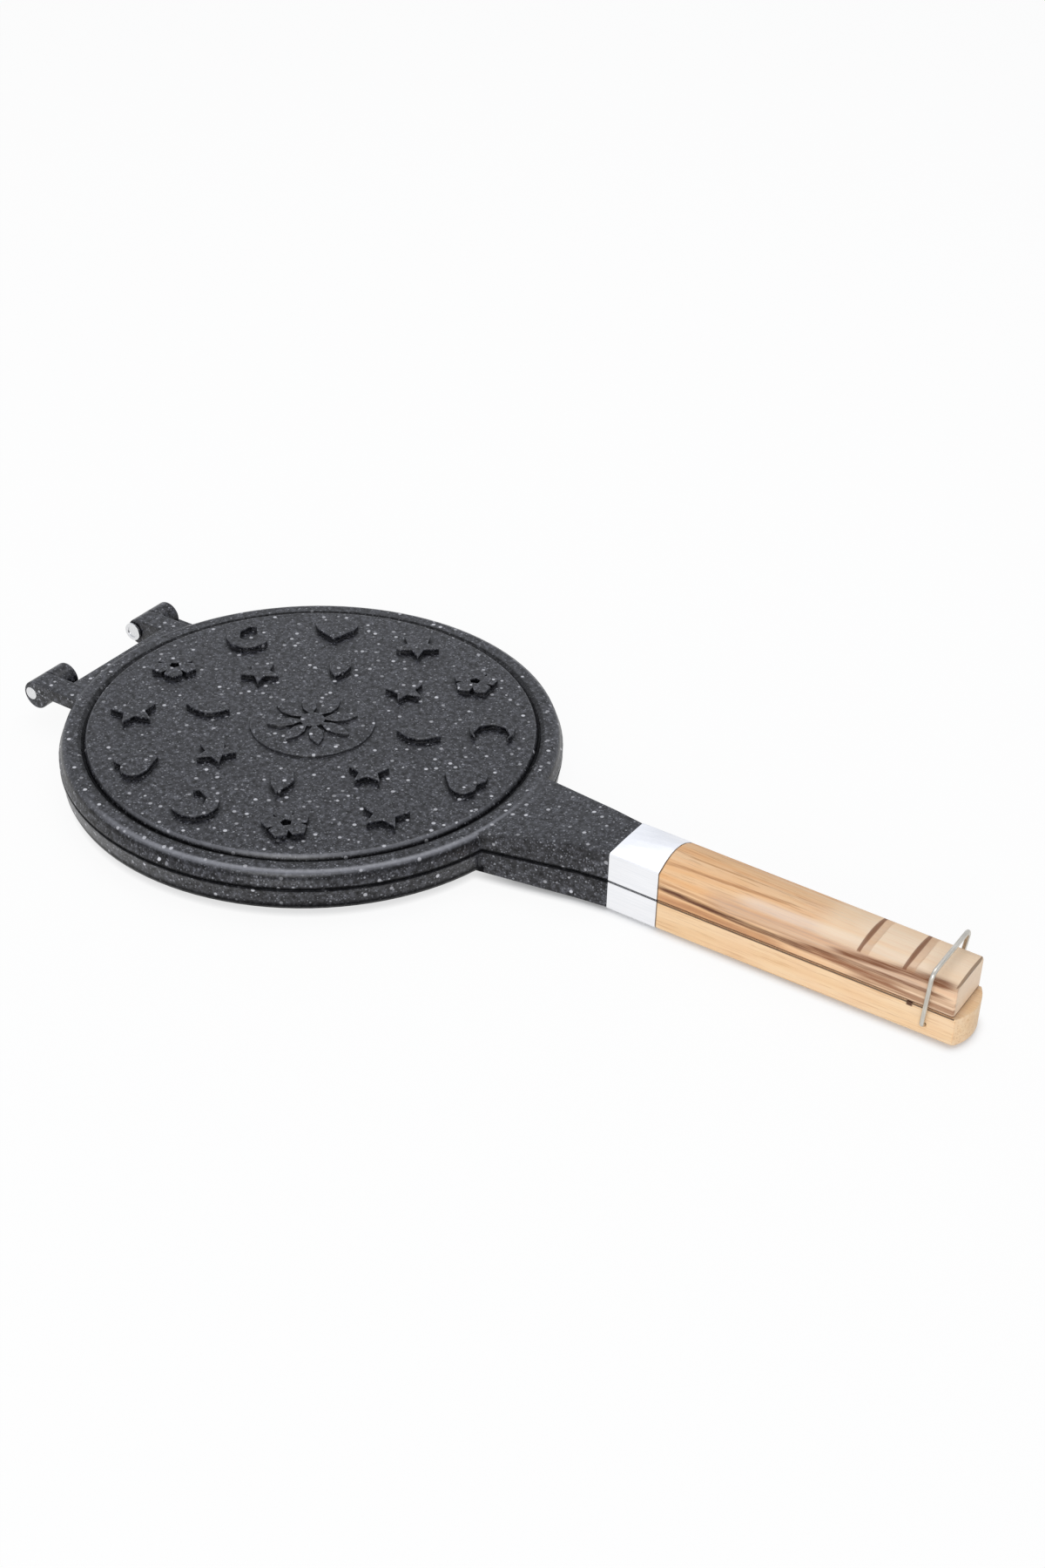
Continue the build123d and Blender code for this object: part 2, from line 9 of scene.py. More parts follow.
import bmesh
import bpy
from mathutils import Matrix, Vector
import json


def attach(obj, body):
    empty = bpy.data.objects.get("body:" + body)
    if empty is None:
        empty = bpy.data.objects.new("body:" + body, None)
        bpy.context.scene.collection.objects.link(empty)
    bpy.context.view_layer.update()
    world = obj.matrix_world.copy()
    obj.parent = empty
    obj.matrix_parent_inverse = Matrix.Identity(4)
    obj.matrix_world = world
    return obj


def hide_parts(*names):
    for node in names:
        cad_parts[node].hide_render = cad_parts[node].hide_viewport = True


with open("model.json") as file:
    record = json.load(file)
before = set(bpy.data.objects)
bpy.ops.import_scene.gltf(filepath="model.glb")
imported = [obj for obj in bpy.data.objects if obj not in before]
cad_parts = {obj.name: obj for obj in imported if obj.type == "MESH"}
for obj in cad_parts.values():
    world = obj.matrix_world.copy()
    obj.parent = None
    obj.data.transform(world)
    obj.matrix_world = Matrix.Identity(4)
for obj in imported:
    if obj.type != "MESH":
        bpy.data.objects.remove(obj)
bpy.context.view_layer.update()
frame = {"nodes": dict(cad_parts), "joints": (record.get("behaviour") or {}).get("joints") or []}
nodes = frame["nodes"]
joints = {joint["name"]: joint for joint in frame["joints"]}
seam = joints["lid_hinge"]["pos_m"][2]

# The side towards the camera, towards which the rings' painted highlights and shade grow, and
# how far towards it they start to grow and are full
PAINTED_LIGHT_SIDE = (0.58, -0.81, 0.0)
PAINTED_LIGHT_REACH = (45, 104)
# Painted rings on the back of a plate: painted shade in the groove, and painted highlights on
# the field's edge and the rim's corner. Radius, half width, softness, colour, strength, and the
# share of it on the far side
RINGS = (
    (109.2, 1.2, 2.0, "#08080a", 0.65, 0.6),
    (106.9, 0.15, 0.6, "#9a9ba2", 0.42, 0.1),
    (117.0, 0.3, 1.4, "#9a9ba2", 0.62, 0.1),
)
# Specks in the coating: dull grains, larger grains and whitish splashes. Spacing, radius, share
# of the places that have one, colour and strength
SPECKS = (
    (1.3, 0.45, 0.8, "#74757c", 0.9),
    (2.6, 0.62, 0.7, "#94959b", 0.9),
    (5.4, 1.15, 0.65, "#d3d3d8", 1.0),
)
# Where shade is painted. Radius, half width and softness of the groove and the rim's outer
# wall, and height, half width and softness of the wall's shoulder
GROOVE = (109.6, 0.9, 1.0)
RIM_WALL = (118.3, 2.6, 0.3)
SHOULDER = (5.6, 0.6, 1.0)
# Heights between which painted shade darkens the rim's bottom corner, and distance from the
# seam at which the backs of the plates start
BOTTOM_CORNER = (-6.6, -9.6)
BACKS_START = (5.2, 6.6)
# Along the handle: where the hinge's lugs end, both grips start and the upper one ends, and
# the middles of its finger notches
LUGS_END = -118
GRIP_START = 200.0
UPPER_GRIP_END = 340.0
NOTCHES = (297.5, 318.2)
# The upper grip's near side in its width, its top and its top edge in height, and the lower
# grip's near side and top
UPPER_NEAR_SIDE = (-9.0, -12.5)
UPPER_TOP = (14.2, 15.2)
UPPER_TOP_EDGE = (14.9, 15.3)
LOWER_NEAR_SIDE = (-10, -12)
LOWER_TOP = (-0.6, -0.3)

# The bail's wire and the lower grip that carries it, from the source's sizes
WIRE_RADIUS = 1.05
BAIL_REACH = 31.2
BAIL_TOP_HALF_WIDTH = 18.4
BAIL_BEND_RADIUS = 3.2
BAIL_END_LENGTH = 7.0
BAIL_LEAN_DEGREES = 4.6
BAIL_LEG_CLEARANCE = 0.5
LOWER_GRIP_LENGTH = 145.0
GRIP_HALF_WIDTHS = (14.5, 13.2)

# Marks in the upper grip's near side, along the handle and in height: start, end, half width,
# strength and colour
SIDE_MARKS = (
    ((222, 11.5), (330, 11.0), 4.6, 0.75, "#ccab93"),
    ((236, 9.2), (300, 9.4), 0.9, 0.5, "#b5835c"),
    ((196, 11.2), (236, 9.4), 1.0, 0.6, "#a96e3f"),
    ((196, 2.6), (262, 1.8), 2.4, 0.6, "#b57e57"),
    ((258, 5.8), (318, 4.6), 2.4, 0.95, "#8f5a38"),
    ((196, 7.6), (276, 4.6), 1.7, 1.0, "#5f3317"),
    ((268, 7.4), (338, 8.4), 1.2, 0.95, "#784624"),
    ((282, 10.8), (342, 15.4), 2.2, 1.0, "#7c4a28"),
    ((292, 2.2), (350, 2.8), 1.7, 0.85, "#946343"),
    ((300, 5.8), (350, 6.2), 1.4, 0.7, "#ac8060"),
)
# The same on its top: along the handle and across it to the far side
TOP_MARKS = (
    ((196, -9.5), (262, -4.5), 0.9, 0.75, "#a9713f"),
    ((204, -2.0), (250, 0.5), 0.6, 0.55, "#b57d49"),
    ((214, 6.0), (290, 5.0), 2.2, 0.35, "#f2c48e"),
    # A painted highlight along the near top edge
    ((236, -11.5), (330, -8.5), 3.2, 0.65, "#f1dccb"),
    ((286, 2.0), (352, 0.0), 6.5, 0.5, "#f8e6d2"),
    ((272, 0.0), (362, 0.0), 22.0, 0.6, "#ffe8c8"),
)


def mm(value):
    return value / 1000


def paint(code):
    """An sRGB hex colour as the linear colour that shaders take."""
    parts = [int(code[i:i + 2], 16) / 255 for i in (1, 3, 5)]
    return [p / 12.92 if p <= 0.04045 else ((p + 0.055) / 1.055) ** 2.4 for p in parts] + [1.0]


def add(tree, kind, inputs=None, out=0, stops=(), family="ShaderNode", **settings):
    """Adds one node with its settings and links, and gives one of its outputs. Stops are the
    (position, hex) cells of a colour ramp."""
    node = tree.nodes.new(family + kind)
    for name, value in settings.items():
        setattr(node, name, value)
    for name, value in (inputs or {}).items():
        if isinstance(value, bpy.types.NodeSocket):
            tree.links.new(value, node.inputs[name])
        else:
            node.inputs[name].default_value = value
    for index, (place, code) in enumerate(stops):
        cells = node.color_ramp.elements
        cell = cells[index] if index < len(cells) else cells.new(place)
        cell.position = place
        cell.color = paint(code)
    return node.outputs[out] if node.outputs else None


def new_finish(name):
    """An empty material and its node tree."""
    material = bpy.data.materials.new(name)
    material.use_nodes = True
    material.node_tree.nodes.clear()
    return material, material.node_tree


def held(tree, first, *others):
    """Where several factors hold at once: their product."""
    for other in others:
        first = add(tree, "Math", {0: first, 1: other}, operation="MULTIPLY")
    return first


def strongest(tree, first, *others):
    """The largest of several factors."""
    for other in others:
        first = add(tree, "Math", {0: first, 1: other}, operation="MAXIMUM")
    return first


def stained(tree, colour, tone, *factors):
    """A colour with a tone laid over it, as strongly as all the factors together."""
    return add(tree, "Mix", {0: held(tree, *factors), 6: colour, 7: paint(tone)}, out=2,
               data_type="RGBA")


def pan_places(tree, place):
    """Along the handle, across it, and the height above the seam."""
    axes = add(tree, "SeparateXYZ", {"Vector": place}).node.outputs
    height = add(tree, "Math", {0: axes[2], 1: seam}, operation="SUBTRACT")
    return axes[0], axes[1], height


def band(tree, across, middle, half_width, soft):
    """1 within half a width of a middle, in millimetres, and 0 outside, with soft edges."""
    away = add(tree, "Math", {0: across, 1: mm(middle)}, operation="SUBTRACT")
    away = add(tree, "Math", {0: away}, operation="ABSOLUTE")
    return add(tree, "MapRange", {
        "Value": away, "From Min": mm(half_width + soft), "From Max": mm(half_width)},
        interpolation_type="SMOOTHSTEP")


def seam_edge(tree, height, half_width, soft):
    """The outer edges of the seam between the halves, but not the flat faces that meet there."""
    normal = add(tree, "NewGeometry", out="Normal")
    rise = add(tree, "SeparateXYZ", {"Vector": normal}, out=2)
    rise = add(tree, "Math", {0: rise}, operation="ABSOLUTE")
    upright = add(tree, "Math", {0: rise, 1: 0.9}, operation="LESS_THAN")
    return held(tree, upright, band(tree, height, 0.0, half_width, soft))


def splashes(tree, place, spread, radius, share):
    """Round specks of one size, thrown about: from 0 outside a speck to its own strength
    inside. A speck shows where its middle lies near the surface, so they differ in size."""
    cells = add(tree, "TexVoronoi", {"Vector": place, "Scale": 1 / mm(spread)}).node.outputs
    draw = add(tree, "SeparateColor", {"Color": cells["Color"]}).node.outputs
    chosen = add(tree, "Math", {0: draw[0], 1: share}, operation="LESS_THAN")
    bright = add(tree, "MapRange", {"Value": draw[1], "To Min": 0.3, "To Max": 1.0})
    edge = radius / spread
    spot = add(tree, "MapRange", {
        "Value": cells["Distance"], "From Min": edge, "From Max": edge * 0.62},
        interpolation_type="SMOOTHSTEP")
    return held(tree, spot, chosen, bright)


def painted_rings(tree, colour, place, outward, on_back):
    """The coating's colour with painted shade in its groove and painted highlights on the
    field's edge and the rim's corner, weaker on the far side.
    """
    near = add(tree, "VectorMath", {0: place, 1: PAINTED_LIGHT_SIDE}, out="Value",
               operation="DOT_PRODUCT")
    start, full = PAINTED_LIGHT_REACH
    for middle, half_width, soft, tone, strength, far_share in RINGS:
        ring_strength = add(tree, "MapRange", {
            "Value": near, "From Min": mm(start), "From Max": mm(full),
            "To Min": strength * far_share, "To Max": strength},
            interpolation_type="SMOOTHSTEP")
        ring = band(tree, outward, middle, half_width, soft)
        colour = stained(tree, colour, tone, ring, on_back, ring_strength)
    return colour


def fat_and_painted_shade(tree, along, height, outward, on_back):
    """How strongly the coating darkens: with baked grease along the seam past the lugs, and with
    painted shade on the rim's bottom corner and shoulder, in the groove and in inner corners."""
    past_lugs = add(tree, "Math", {0: along, 1: mm(LUGS_END)}, operation="GREATER_THAN")
    on_wall = band(tree, outward, *RIM_WALL)
    low, lowest = BOTTOM_CORNER
    bottom = add(tree, "MapRange", {
        "Value": height, "From Min": mm(low), "From Max": mm(lowest)},
        interpolation_type="SMOOTHSTEP")
    # Painted shade in inner corners, where the coating sees little of the room
    open_sky = add(tree, "AmbientOcclusion", {"Distance": mm(4.0)}, out="AO", samples=8)
    corners = add(tree, "MapRange", {"Value": open_sky, "From Min": 0.9, "From Max": 0.5})
    return strongest(
        tree,
        held(tree, seam_edge(tree, height, 0.85, 0.6), past_lugs),
        held(tree, bottom, on_wall),
        held(tree, band(tree, outward, *GROOVE), on_back, 0.6),
        held(tree, band(tree, height, *SHOULDER), on_wall, 0.5),
        corners)


def sprayed_stone_coating():
    """Non-stick coating, sprayed on the casting in a dark coat with light splashed specks over
    it and baked. The eye sees a mottled charcoal ground with dull pits, a soft sheen and a
    slight orange peel, many dull grains half a millimetre across, and fewer whitish ones two
    millimetres across that stand a little proud. It is lighter along the edges, partly worn
    and partly painted highlight, and has painted highlights on the field's edge and the rim's
    corner. Painted shade darkens and dulls the inner corners, the groove and the rim's shoulder
    and bottom corner, and baked grease darkens and dulls the seam."""
    material, tree = new_finish("sprayed_stone_coating")
    place = add(tree, "TexCoord", out="Object")
    along, _, height = pan_places(tree, place)
    flattened = add(tree, "Mapping", {"Vector": place, "Scale": (1, 1, 0)})
    outward = add(tree, "VectorMath", {0: flattened}, out="Value", operation="LENGTH")
    from_seam = add(tree, "Math", {0: height}, operation="ABSOLUTE")
    start, full = BACKS_START
    on_back = add(tree, "MapRange", {
        "Value": from_seam, "From Min": mm(start), "From Max": mm(full)})
    mottle = add(tree, "TexNoise", {"Vector": place, "Scale": 1 / mm(2.4), "Detail": 5.0,
                                    "Roughness": 0.7})
    colour = add(tree, "ValToRGB", {"Fac": mottle},
                 stops=[(0.36, "#070709"), (0.52, "#19191f"), (0.67, "#46474f")])
    colour = painted_rings(tree, colour, place, outward, on_back)
    covers = []
    for spread, radius, share, tone, strength in SPECKS:
        covers.append(held(tree, splashes(tree, place, spread, radius, share), strength))
        colour = stained(tree, colour, tone, covers[-1])
    rounded = add(tree, "Bevel", {"Radius": mm(1.3)}, samples=6)
    flat = add(tree, "NewGeometry", out="Normal")
    turn = add(tree, "VectorMath", {0: rounded, 1: flat}, out="Value",
               operation="DOT_PRODUCT")
    # Lighter along every edge: partly worn by handling, partly a painted highlight
    rubbed_and_highlit = add(tree, "MapRange", {"Value": turn, "From Min": 0.995, "From Max": 0.85,
                                    "To Max": 0.42}, interpolation_type="SMOOTHSTEP")
    colour = stained(tree, colour, "#84858b", rubbed_and_highlit)
    # Painted shade, and baked grease at the seam, darken the colour and dull the sheen
    fat_and_shade = fat_and_painted_shade(tree, along, height, outward, on_back)
    colour = stained(tree, colour, "#060608", fat_and_shade, 0.9)
    dulled = add(tree, "MapRange", {"Value": fat_and_shade, "To Min": 1.0, "To Max": 0.12})
    pitted = add(tree, "MapRange", {"Value": mottle, "From Min": 0.34, "From Max": 0.66,
                                    "To Min": 0.24, "To Max": 0.7})
    peel = add(tree, "TexNoise", {"Vector": place, "Scale": 1 / mm(1.2), "Detail": 2.0})
    relief = add(tree, "Math", {0: strongest(tree, *covers), 1: 0.5, 2: peel},
                 operation="MULTIPLY_ADD")
    normal = add(tree, "Bump", {"Height": relief, "Distance": mm(0.06), "Strength": 0.5,
                                "Normal": rounded})
    sheen = add(tree, "MapRange", {"Value": mottle, "From Min": 0.3, "From Max": 0.7,
                                   "To Min": 0.25, "To Max": 0.37})
    shader = add(tree, "BsdfPrincipled", {
        "Base Color": colour, "Roughness": sheen, "Normal": normal, "IOR": 1.5,
        "Specular IOR Level": held(tree, dulled, pitted)})
    add(tree, "OutputMaterial", {"Surface": shader})
    return material


def rubbed_metal(name, light, dark, rough, grain, seam_dirt=0.0):
    """Bare metal with the fine lines or grain of its making, drawn coarser than the real ones
    so that they show, and small changes of gloss. Grain is their spacing in millimetres along
    each axis. Dirt darkens the metal along the seam between the halves."""
    material, tree = new_finish(name)
    place = add(tree, "TexCoord", out="Object")
    drawn_out = add(tree, "Mapping", {
        "Vector": place, "Scale": [1 / mm(spacing) for spacing in grain]})
    lines = add(tree, "TexNoise", {"Vector": drawn_out, "Scale": 1.0, "Detail": 4.0})
    smear = add(tree, "TexNoise", {"Vector": place, "Scale": 1 / mm(20), "Detail": 2.0})
    colour = add(tree, "ValToRGB", {"Fac": lines}, stops=[(0.3, dark), (0.7, light)])
    height = pan_places(tree, place)[2]
    colour = stained(tree, colour, "#3a3a3e", seam_edge(tree, height, 0.4, 0.4), seam_dirt)
    gloss = add(tree, "MapRange", {"Value": smear, "From Min": 0.3, "From Max": 0.7,
                                   "To Min": rough - 0.06, "To Max": rough + 0.08})
    normal = add(tree, "Bump", {"Height": lines, "Distance": mm(0.02), "Strength": 0.25})
    shader = add(tree, "BsdfPrincipled", {"Base Color": colour, "Roughness": gloss,
                                          "Normal": normal, "Metallic": 1.0})
    add(tree, "OutputMaterial", {"Surface": shader})
    return material


def oiled_wood(name, tones, pore, tilt, marks):
    """Plain-sawn wood, planed, sanded and oiled. Long grain runs with the handle as soft bands
    a few millimetres wide with finer pore lines in them, drawn a millimetre apart so that they
    show; cut across, it shows as close rings. Marks drawn by the given function darken some of
    its edges."""
    material, tree = new_finish(name)
    place = add(tree, "TexCoord", out="Object")
    leaning = add(tree, "Mapping", {"Vector": place, "Rotation": tilt,
                                    "Scale": (0.035, 1.0, 1.0)})
    bands = add(tree, "TexNoise", {"Vector": leaning, "Scale": 1 / mm(5.0), "Detail": 4.0,
                                   "Roughness": 0.6, "Distortion": 0.3})
    pores = add(tree, "TexNoise", {"Vector": leaning, "Scale": 1 / mm(1.0), "Detail": 4.0,
                                   "Roughness": 0.7})
    clouds = add(tree, "TexNoise", {"Vector": place, "Scale": 1 / mm(22), "Detail": 2.0})
    colour = add(tree, "ValToRGB", {"Fac": bands}, stops=tones)
    fine = add(tree, "MapRange", {"Value": pores, "From Min": 0.5, "From Max": 0.66,
                                  "To Max": 0.55}, interpolation_type="SMOOTHSTEP")
    colour = stained(tree, colour, pore, fine)
    warm = add(tree, "MapRange", {"Value": clouds, "From Min": 0.4, "From Max": 0.65,
                                  "To Max": 0.22}, interpolation_type="SMOOTHSTEP")
    colour = stained(tree, colour, "#f0c49c", warm)
    colour = marks(tree, colour, place, pores)
    relief = add(tree, "Math", {0: pores, 1: 0.5, 2: bands}, operation="MULTIPLY_ADD")
    normal = add(tree, "Bump", {"Height": relief, "Distance": mm(0.08), "Strength": 0.3})
    gloss = add(tree, "MapRange", {"Value": bands, "From Min": 0.3, "From Max": 0.7,
                                   "To Min": 0.46, "To Max": 0.6})
    shader = add(tree, "BsdfPrincipled", {"Base Color": colour, "Roughness": gloss,
                                          "Normal": normal, "IOR": 1.45})
    add(tree, "OutputMaterial", {"Surface": shader})
    return material


def streaks(tree, colour, marks, along, across, waver, shown):
    """Bands of darker heartwood and lighter sapwood, drawn along the grip from point to point
    with soft ends and a slightly wandering line."""
    for (start, first), (end, last), half_width, strength, tone in marks:
        slope = (last - first) / (end - start)
        line = add(tree, "Math", {0: along, 1: -slope, 2: across}, operation="MULTIPLY_ADD")
        line = add(tree, "Math", {0: line, 1: waver}, operation="ADD")
        width = band(tree, line, first - start * slope, half_width * 0.4, half_width * 0.8)
        length = band(tree, along, (start + end) / 2, (end - start) / 2 - 9, 12)
        colour = stained(tree, colour, tone, width, length, shown, strength)
    return colour


def upper_grip_marks(tree, colour, place, pores):
    """Dark heartwood streaks down the near side with a painted highlight along the near top
    edge, a paler end with painted light on its end face, finger notches with browner floors and
    painted shade on one wall, a dark line along the sawn end's top edge, and browned joints at
    the seam's edge and against the sleeve."""
    along, across, height = pan_places(tree, place)
    stretched = add(tree, "Mapping", {"Vector": place, "Scale": (0.22, 1.0, 1.0)})
    wander = add(tree, "TexNoise", {"Vector": stretched, "Scale": 1 / mm(16.7), "Detail": 2.0})
    waver = add(tree, "MapRange", {"Value": wander, "From Min": 0.2, "From Max": 0.8,
                                   "To Min": mm(-1.0), "To Max": mm(1.0)})
    paler = add(tree, "MapRange", {"Value": along, "From Min": mm(225), "From Max": mm(342),
                                   "To Max": 0.42}, interpolation_type="SMOOTHSTEP")
    colour = stained(tree, colour, "#f8e2cd", paler)
    torn = add(tree, "MapRange", {"Value": pores, "From Min": 0.35, "From Max": 0.58,
                                  "To Min": 0.5, "To Max": 1.0})
    start, full = UPPER_TOP
    top = add(tree, "MapRange", {"Value": height, "From Min": mm(start), "From Max": mm(full)},
              interpolation_type="SMOOTHSTEP")
    start, full = UPPER_NEAR_SIDE
    near = add(tree, "MapRange", {"Value": across, "From Min": mm(start), "From Max": mm(full)},
               interpolation_type="SMOOTHSTEP")
    colour = streaks(tree, colour, TOP_MARKS, along, across, waver, held(tree, top, torn))
    colour = streaks(tree, colour, SIDE_MARKS, along, height, waver, held(tree, near, torn))
    # Each finger notch: a browner floor, and painted shade on its wall towards the sleeve
    for middle in NOTCHES:
        floor = band(tree, along, middle, 2.1, 0.4)
        colour = stained(tree, colour, "#c08a5f", floor, top, 0.35)
        wall = band(tree, along, middle - 2.2, 0.6, 0.5)
        colour = stained(tree, colour, "#7c4a28", wall, top, 0.85)
    # Painted light that makes the end face lighter
    painted_lit_end = band(tree, along, UPPER_GRIP_END + 0.6, 0.7, 0.1)
    colour = stained(tree, colour, "#ffe9cd", painted_lit_end, 0.6)
    sawn = band(tree, along, UPPER_GRIP_END, 0.85, 0.3)
    start, full = UPPER_TOP_EDGE
    edge = add(tree, "MapRange", {"Value": height, "From Min": mm(start), "From Max": mm(full)})
    colour = stained(tree, colour, "#77573c", sawn, edge, 0.75)
    return browned_joints(tree, colour, along, height)


def lower_grip_marks(tree, colour, place, pores):
    """A small dark knot at the seam, painted shade on its top in front of the upper grip's end,
    and browned edges. The pores aren't used here, because this grip has no streaks that they
    could tear."""
    along, across, height = pan_places(tree, place)
    knot = held(tree, band(tree, along, 320.5, 0.9, 0.9), band(tree, height, -0.4, 1.2, 0.9))
    start, full = LOWER_NEAR_SIDE
    near = add(tree, "MapRange", {"Value": across, "From Min": mm(start), "From Max": mm(full)})
    colour = stained(tree, colour, "#54301a", knot, near)
    # Painted shade on the top in front of the upper grip's end, where it lies in its shadow
    shaded_shelf = band(tree, along, UPPER_GRIP_END, 1.2, 1.4)
    start, full = LOWER_TOP
    top = add(tree, "MapRange", {"Value": height, "From Min": mm(start), "From Max": mm(full)})
    colour = stained(tree, colour, "#b07a4b", shaded_shelf, top, 0.15)
    return browned_joints(tree, colour, along, height)


def browned_joints(tree, colour, along, height):
    """Dark lines of oil and dust along the seam between the grips and against the sleeve."""
    touching = add(tree, "Math", {0: along, 1: mm(UPPER_GRIP_END + 0.4)},
                   operation="LESS_THAN")
    seam_line = seam_edge(tree, height, 0.7, 0.5)
    colour = stained(tree, colour, "#4e3019", seam_line, touching, 0.9)
    sleeve_line = band(tree, along, GRIP_START, 0.35, 0.4)
    return stained(tree, colour, "#57422d", sleeve_line, 0.85)


def ray_kinds(tree):
    """Whether a ray comes from the camera, and whether from a glossy or clear surface."""
    path = add(tree, "LightPath").node.outputs
    mirrored = add(tree, "Math", {0: path["Is Glossy Ray"], 1: path["Is Transmission Ray"]},
                   operation="ADD")
    return path["Is Camera Ray"], mirrored


def white_table():
    """Plain white sheet: bright to the camera, and it still takes the pan's soft shadow. A
    painted contact shadow, deepest where the pan comes near it, darkens it to the camera and in
    reflections."""
    material, tree = new_finish("white_table")
    camera, mirrored = ray_kinds(tree)
    sheet = add(tree, "BsdfDiffuse", {"Color": (0.95, 0.95, 0.95, 1)})
    glow = add(tree, "Emission", {"Color": (1, 1, 1, 1), "Strength": 1.0})
    # Painted contact shadow: the sheet glows less where little of the room is seen
    open_sky = add(tree, "AmbientOcclusion", {"Distance": mm(4.5)}, out="AO", samples=8)
    seen = add(tree, "MapRange", {"Value": open_sky, "From Min": 0.4, "From Max": 0.95,
                                  "To Min": 0.15, "To Max": 0.93})
    glossed = add(tree, "MapRange", {"Value": open_sky, "From Min": 0.3, "From Max": 0.9})
    share = add(tree, "Math", {0: camera, 1: seen, 2: held(tree, mirrored, glossed)},
                operation="MULTIPLY_ADD", use_clamp=True)
    mixed = add(tree, "MixShader", {0: share, 1: sheet, 2: glow})
    add(tree, "OutputMaterial", {"Surface": mixed})
    return material


def turned_edges(name, attribute, data_type, measure, angle=50):
    """A modifier's nodes that mark the edges at which the surface turns by more than an angle:
    the outward ones to be broken, or those of either kind to be shaded crisp."""
    tree = bpy.data.node_groups.new(name, "GeometryNodeTree")
    tree.interface.new_socket("Geometry", in_out="INPUT", socket_type="NodeSocketGeometry")
    tree.interface.new_socket("Geometry", in_out="OUTPUT", socket_type="NodeSocketGeometry")
    turn = add(tree, "InputMeshEdgeAngle", out=measure, family="GeometryNode")
    sharp = add(tree, "Math", {0: turn, 1: math.radians(angle)}, operation="GREATER_THAN")
    solid = add(tree, "GroupInput", family="Node")
    marked = add(tree, "StoreNamedAttribute", {
        "Geometry": solid, "Name": attribute, "Value": sharp},
        family="GeometryNode", data_type=data_type, domain="EDGE")
    add(tree, "GroupOutput", {0: marked}, family="Node")
    return tree


def softened(node, width, outer, crisp):
    """Broken edges and round shading on a solid, with its corners left where they are."""
    for polygon in node.data.polygons:
        polygon.use_smooth = True
    weld = node.modifiers.new("join", "WELD")
    weld.merge_threshold = mm(0.002)
    flat = node.modifiers.new("flat_faces", "DECIMATE")
    flat.decimate_type = "DISSOLVE"
    flat.angle_limit = math.radians(0.4)
    node.modifiers.new("outer_edges", "NODES").node_group = outer
    edge = node.modifiers.new("broken_edges", "BEVEL")
    edge.width = mm(width)
    edge.segments = 2
    edge.limit_method = "WEIGHT"
    edge.miter_outer = "MITER_ARC"
    edge.use_clamp_overlap = False
    node.modifiers.new("crisp_edges", "NODES").node_group = crisp
    even = node.modifiers.new("even_shading", "WEIGHTED_NORMAL")
    even.keep_sharp = True
    even.weight = 80


def dress(name, material, width, outer, crisp):
    """Gives a solid its finish and its broken edges."""
    nodes[name].data.materials.clear()
    nodes[name].data.materials.append(material)
    softened(nodes[name], width, outer, crisp)


def rounded_route(corners, radius, steps=10):
    """Straight runs through the corners with a round bend at each."""
    route = [corners[0]]
    for before, corner, after in zip(corners, corners[1:], corners[2:]):
        ahead = (corner - before).normalized()
        away = (after - corner).normalized()
        turn = ahead.angle(away)
        inward = (away - ahead * math.cos(turn)).normalized()
        start = corner - ahead * (radius * math.tan(turn / 2))
        for step in range(steps + 1):
            angle = turn * step / steps
            route.append(start + ahead * (radius * math.sin(angle))
                         + inward * (radius * (1 - math.cos(angle))))
    return route + [corners[-1]]


def made(name, mesh):
    """A smooth shaded scene object from a finished mesh."""
    bmesh.ops.recalc_face_normals(mesh, faces=mesh.faces)
    data = bpy.data.meshes.new(name)
    mesh.to_mesh(data)
    mesh.free()
    for polygon in data.polygons:
        polygon.use_smooth = True
    piece = bpy.data.objects.new(name, data)
    bpy.context.scene.collection.objects.link(piece)
    return piece


def tube(name, route, radius, sides=20):
    """Round bar along a route, its ends closed and broken by a quarter of the radius."""
    broken = 0.25
    mesh = bmesh.new()
    across = Vector((1, 0, 0))
    start = (route[1] - route[0]).normalized() * (radius * broken)
    end = (route[-1] - route[-2]).normalized() * (radius * broken)
    line = [(route[0], 1 - broken), (route[0] + start, 1.0)]
    line += [(point, 1.0) for point in route[1:-1]]
    line += [(route[-1] - end, 1.0), (route[-1], 1 - broken)]
    rings = []
    for index, (point, size) in enumerate(line):
        before = line[max(index - 1, 0)][0]
        after = line[min(index + 1, len(line) - 1)][0]
        ahead = (after - before).normalized()
        side = (across - ahead * across.dot(ahead)).normalized()
        up = ahead.cross(side)
        turns = (math.tau * step / sides for step in range(sides))
        rings.append([mesh.verts.new(point + (side * math.cos(turn) + up * math.sin(turn))
                                     * radius * size) for turn in turns])
    for first, second in zip(rings, rings[1:]):
        for step in range(sides):
            other = (step + 1) % sides
            mesh.faces.new((first[step], first[other], second[other], second[step]))
    mesh.faces.new(list(reversed(rings[0])))
    mesh.faces.new(rings[-1])
    return made(name, mesh)


